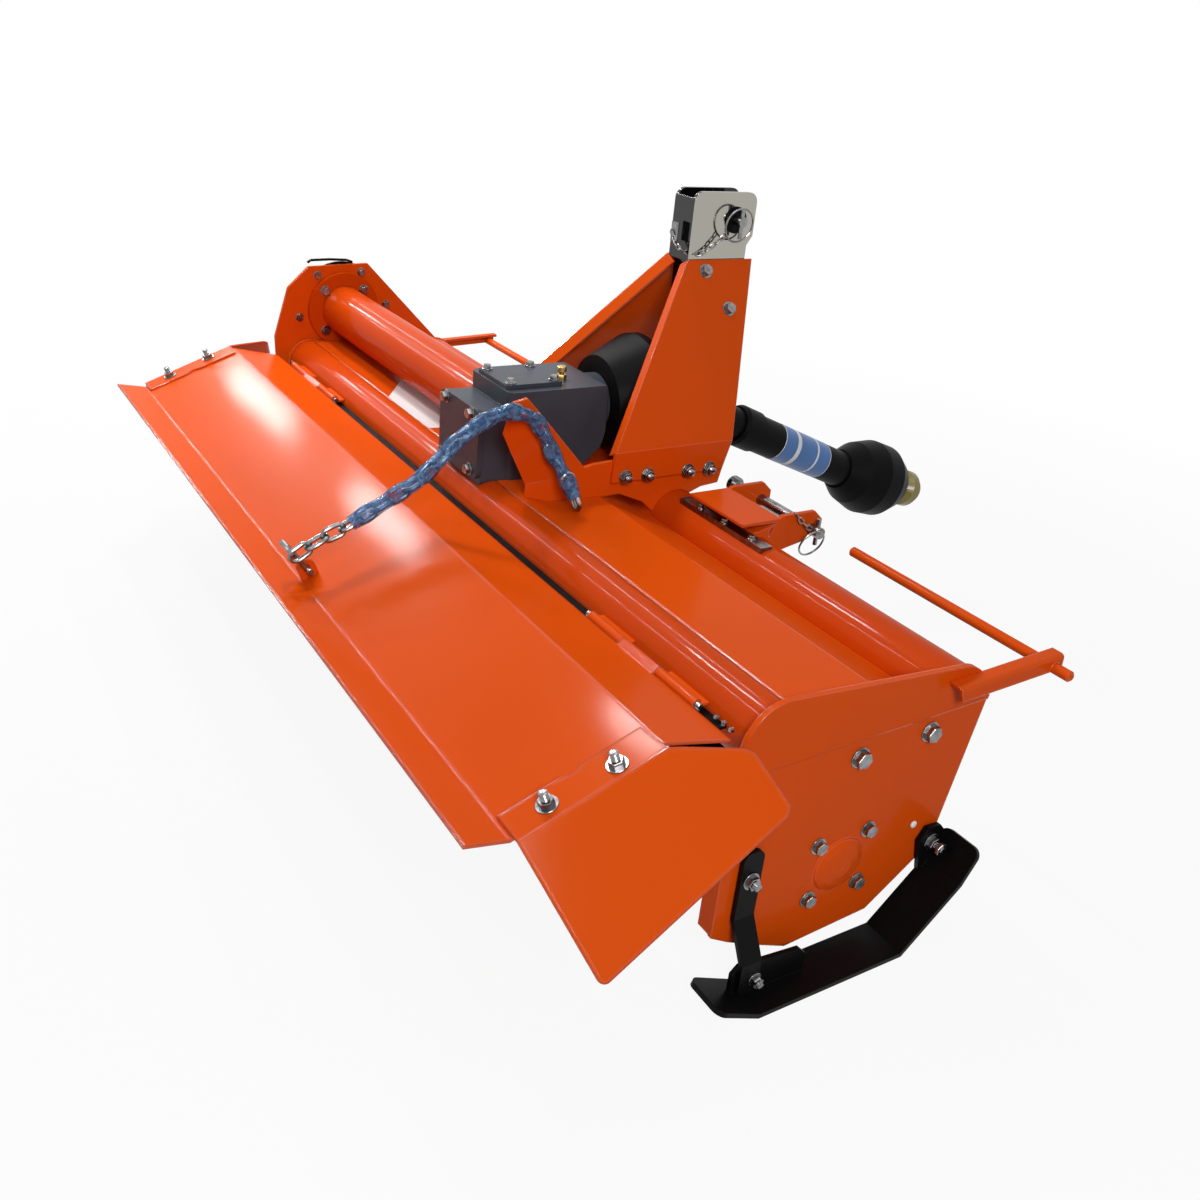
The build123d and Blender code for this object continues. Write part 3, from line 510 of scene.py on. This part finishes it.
# side tab that holds the top pin's chain, zinc ends of the hinge rods, small screws on the seal strip
tabs.plate([at(-14, 245.2, 722), at(8, 245.2, 722), at(8, 245.2, 758), at(-14, 245.2, 758)], -2)
for side in (1, -1):
    for x in (553, 839):
        tabs.turned(at(side * x - 5, -230, 276.5), RIGHT, [(4.3, 0), (5.2, 1), (5.2, 9), (4.3, 10)], 14)
    for x in (862, 878, 895):
        tabs.hexagon(at(side * x, -215, 266), UP, 8, 4, x * 0.1)
tabs.done()

# ---------------------------------------------------------------- strap and plug on the end plates
strap = Piece("lift_strap", BLACK, "frame")
STRAP = [(-157, 495), (-150, 500), (-102, 501), (-60, 499), (-46, 494)]
for a, b in zip(STRAP, STRAP[1:]):
    strap.plate([at(-941, *a), at(-935, *a), at(-935, *b), at(-941, *b)], 5)
strap.done()
plug = Piece("white_plug", LABEL, "frame")
plug.turned(at(PLATE, 148, 27), RIGHT, [(6, 0), (6, 2), (4.5, 3)], 20)
plug.done()


# ---------------------------------------------------------------- lift chain: round links with film
def islands(o):
    """Lists of vertex places, one for each loose part of a mesh."""
    bm = bmesh.new()
    bm.from_mesh(o.data)
    bmesh.ops.remove_doubles(bm, verts=bm.verts, dist=1e-5)
    seen = set()
    parts = []
    for start in bm.verts:
        if start in seen:
            continue
        seen.add(start)
        stack, found = [start], []
        while stack:
            v = stack.pop()
            found.append(o.matrix_world @ v.co)
            for edge in v.link_edges:
                w = edge.other_vert(v)
                if w not in seen:
                    seen.add(w)
                    stack.append(w)
        parts.append(found)
    bm.free()
    return parts


LINK_L, LINK_W, WIRE_R = 46.0, 29.0, 4.0
chain = Piece("chain_links", ZINC, "frame")
link_places = []
for part in islands(NODES["lift_chain"]):
    spots = np.array(part)
    middle = spots.mean(axis=0)
    axes = np.linalg.svd(spots - middle, full_matrices=False)[2]
    run, across = Vector(axes[0]), Vector(axes[1])
    if run.y < 0:
        run = -run
    link_places.append((Vector(middle), run, across))
link_places.sort(key=lambda item: item[0].y)
for middle, run, across in link_places:
    chain.swept(link_points(middle, run, across, LINK_L - 2 * WIRE_R, LINK_W - 2 * WIRE_R, 7), WIRE_R, 10,
                True)
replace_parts(chain.done(), "lift_chain")

# the film follows the links: wide across a link that lies flat, narrow where the next one stands
film = Piece("chain_film", FILM, "frame")
BARE_LINKS = 3
STEPS = 6            # rings of the film from one link to the next
FILM_SIDES = 16
FILM_R, FILM_SWING = 13.6, 2.4
flat_way = link_places[BARE_LINKS][2]
rings = []
last = len(link_places) - 1
for i in range(BARE_LINKS, last + 1):
    for step in range(STEPS if i < last else 1):
        k = step / STEPS
        here = link_places[i][0]
        spot = here.lerp(link_places[min(i + 1, last)][0], k)
        run = (link_places[min(i + 1, last)][0] - link_places[max(i - 1, 0)][0]).normalized()
        flat_way = (flat_way - run * run.dot(flat_way)).normalized()
        stand_way = run.cross(flat_way)
        swing = cos((i - BARE_LINKS + k) * pi)
        wide, high = FILM_R + FILM_SWING * swing, FILM_R - FILM_SWING * swing
        rings.append([film.bm.verts.new(spot + (flat_way * wide * cos(t)
                                                + stand_way * high * sin(t)) * MM)
                      for t in (2 * pi * n / FILM_SIDES for n in range(FILM_SIDES))])
for one, two in zip(rings, rings[1:]):
    film.bridge(one, two)
film.done(180)

# ---------------------------------------------------------------- weld beads round the cross tubes' ends
weld = Piece("weld_beads", ORANGE, "frame")
for side in (1, -1):
    for y, z in ((-157, 255), (176, 242)):
        weld.swept([at(side * 931.5, y + 54.6 * cos(t), z + 54.6 * sin(t))
                    for t in (2 * pi * i / 40 for i in range(40))], 3.0, 8, True)
weld.done()

# ---------------------------------------------------------------- seal strip between rear tube and gate
seal = Piece("seal_strip", PLASTIC, "frame")
seal.plate([at(-880, -209, 263), at(880, -209, 263), at(880, -225, 263), at(-880, -225, 263)], 3)
seal.done()

# ---------------------------------------------------------------- labels without text
band = Piece("guard_band", BAND_BLUE, "shaft_front")
for start, end in ((334, 372), (384, 440), (446, 486)):
    band.turned(SHAFT_JOINT + SHAFT_RUN * start * MM, SHAFT_RUN, [(41.4, 0), (41.4, end - start)], 48)
band.done()
pale = Piece("guard_band_white", LABEL, "shaft_front")
pale.turned(SHAFT_JOINT + SHAFT_RUN * 332 * MM, SHAFT_RUN, [(41.2, 0), (41.2, 156)], 48)
pale.done()
patch = Piece("deck_label", LABEL, "frame")
patch.plate([at(-232, -46, 305.9), at(-232, -148, 309.3), at(-448, -148, 309.3),
             at(-600, -46, 305.9)], 0.5)
patch.done()

# ---------------------------------------------------------------- floor and light
floor_mesh = bpy.data.meshes.new("floor")
floor_mesh.from_pydata([(-40, -40, 0), (40, -40, 0), (40, 40, 0), (-40, 40, 0)], [], [(0, 1, 2, 3)])
floor = bpy.data.objects.new("floor", floor_mesh)
bpy.context.scene.collection.objects.link(floor)
floor_mat = bpy.data.materials.new("floor")
floor_mat.use_nodes = True
ft = floor_mat.node_tree
floor_bsdf = ft.nodes["Principled BSDF"]
floor_bsdf.inputs["Base Color"].default_value = (0.55, 0.55, 0.55, 1)
floor_bsdf.inputs["Roughness"].default_value = 0.9
floor_bsdf.inputs["Specular IOR Level"].default_value = 0.1
floor.data.materials.append(floor_mat)


def background_ray(tree):
    """1 for a ray from the camera or through a glossy or clear surface, otherwise 0."""
    path = tree.nodes.new("ShaderNodeLightPath")
    last = path.outputs["Is Camera Ray"]
    for name in ("Is Glossy Ray", "Is Transmission Ray"):
        most = tree.nodes.new("ShaderNodeMath")
        most.operation = "MAXIMUM"
        tree.links.new(last, most.inputs[0])
        tree.links.new(path.outputs[name], most.inputs[1])
        last = most.outputs[0]
    return last


white = ft.nodes.new("ShaderNodeEmission")
white.inputs["Color"].default_value = (1, 1, 1, 1)
# near the object the floor keeps a little of its shading, far away it goes over to plain white
place_on = ft.nodes.new("ShaderNodeTexCoord")
reach = ft.nodes.new("ShaderNodeVectorMath")
reach.operation = "LENGTH"
ft.links.new(place_on.outputs["Object"], reach.inputs[0])
plain = ft.nodes.new("ShaderNodeMapRange")
plain.inputs["From Min"].default_value = 1.2
plain.inputs["From Max"].default_value = 3.0
plain.inputs["To Min"].default_value = 0.92
plain.inputs["To Max"].default_value = 1.0
ft.links.new(reach.outputs["Value"], plain.inputs["Value"])
share = ft.nodes.new("ShaderNodeMath")
share.operation = "MULTIPLY"
ft.links.new(background_ray(ft), share.inputs[0])
ft.links.new(plain.outputs["Result"], share.inputs[1])
both = ft.nodes.new("ShaderNodeMixShader")
ft.links.new(share.outputs[0], both.inputs["Fac"])
ft.links.new(floor_bsdf.outputs["BSDF"], both.inputs[1])
ft.links.new(white.outputs["Emission"], both.inputs[2])
ft.links.new(both.outputs["Shader"], ft.nodes["Material Output"].inputs["Surface"])

world = bpy.data.worlds.new("studio")
bpy.context.scene.world = world
world.use_nodes = True
wt = world.node_tree
back = wt.nodes["Background"]
back.inputs["Color"].default_value = (1, 1, 1, 1)
level = wt.nodes.new("ShaderNodeMapRange")
level.inputs["To Min"].default_value = 0.11
level.inputs["To Max"].default_value = 1.0
wt.links.new(background_ray(wt), level.inputs["Value"])
wt.links.new(level.outputs["Result"], back.inputs["Strength"])


def lamp(name, place, target, size, watts):
    """Area lamp of so many metres by metres, turned to its target."""
    data = bpy.data.lights.new(name, "AREA")
    data.shape = "RECTANGLE"
    data.size, data.size_y = size
    data.energy = watts
    o = bpy.data.objects.new(name, data)
    bpy.context.scene.collection.objects.link(o)
    o.location = place
    o.rotation_mode = "QUATERNION"
    o.rotation_quaternion = (target - place).to_track_quat("-Z", "Y")


# two long strips over the left side show as lines on tubes and bends, three boxes as soft patches
# on the gate
AIM = at(0, -100, 250)
STRIP_X, STRIP_Z = -2500, 1950
for name, y in (("strip_fore", 250), ("strip_rear", -1020)):
    lamp(name, at(STRIP_X, y, STRIP_Z), at(STRIP_X, -100, 250), (4.0, 0.035), 30)
for name, x, y, z, watts in (("box_far", -3309, -403, 1500, 10), ("box_mid", -2421, -408, 1863, 13),
                             ("box_near", -1114, -285, 2530, 20)):
    lamp(name, at(x, y, z), AIM, (0.13, 0.36), watts)
lamp("key", at(3400, -1500, 2300), AIM, (1.2, 1.2), 88)
lamp("top", at(700, -500, 3200), AIM, (1.4, 1.4), 12)
bpy.context.scene.view_settings.view_transform = "Standard"

# ---------------------------------------------------------------- camera
CAM_AZ, CAM_EL, CAM_ROLL = radians(56.0), radians(26.37), radians(5.82)
cam_data = bpy.data.cameras.new("camera")
cam_data.lens = 35.25
cam_data.sensor_width = 36.0
cam = bpy.data.objects.new("camera", cam_data)
bpy.context.scene.collection.objects.link(cam)
bpy.context.scene.camera = cam
cam.location = at(1887.7, -1114.4, 1096.3)
back_dir = Vector((sin(CAM_AZ) * cos(CAM_EL), -cos(CAM_AZ) * cos(CAM_EL), sin(CAM_EL)))
level_right = (-back_dir).cross(UP).normalized()
level_up = level_right.cross(-back_dir)
right = level_right * cos(CAM_ROLL) + level_up * sin(CAM_ROLL)
up = level_up * cos(CAM_ROLL) - level_right * sin(CAM_ROLL)
cam.rotation_mode = "QUATERNION"
cam.rotation_quaternion = Matrix((right, up, back_dir)).transposed().to_quaternion()
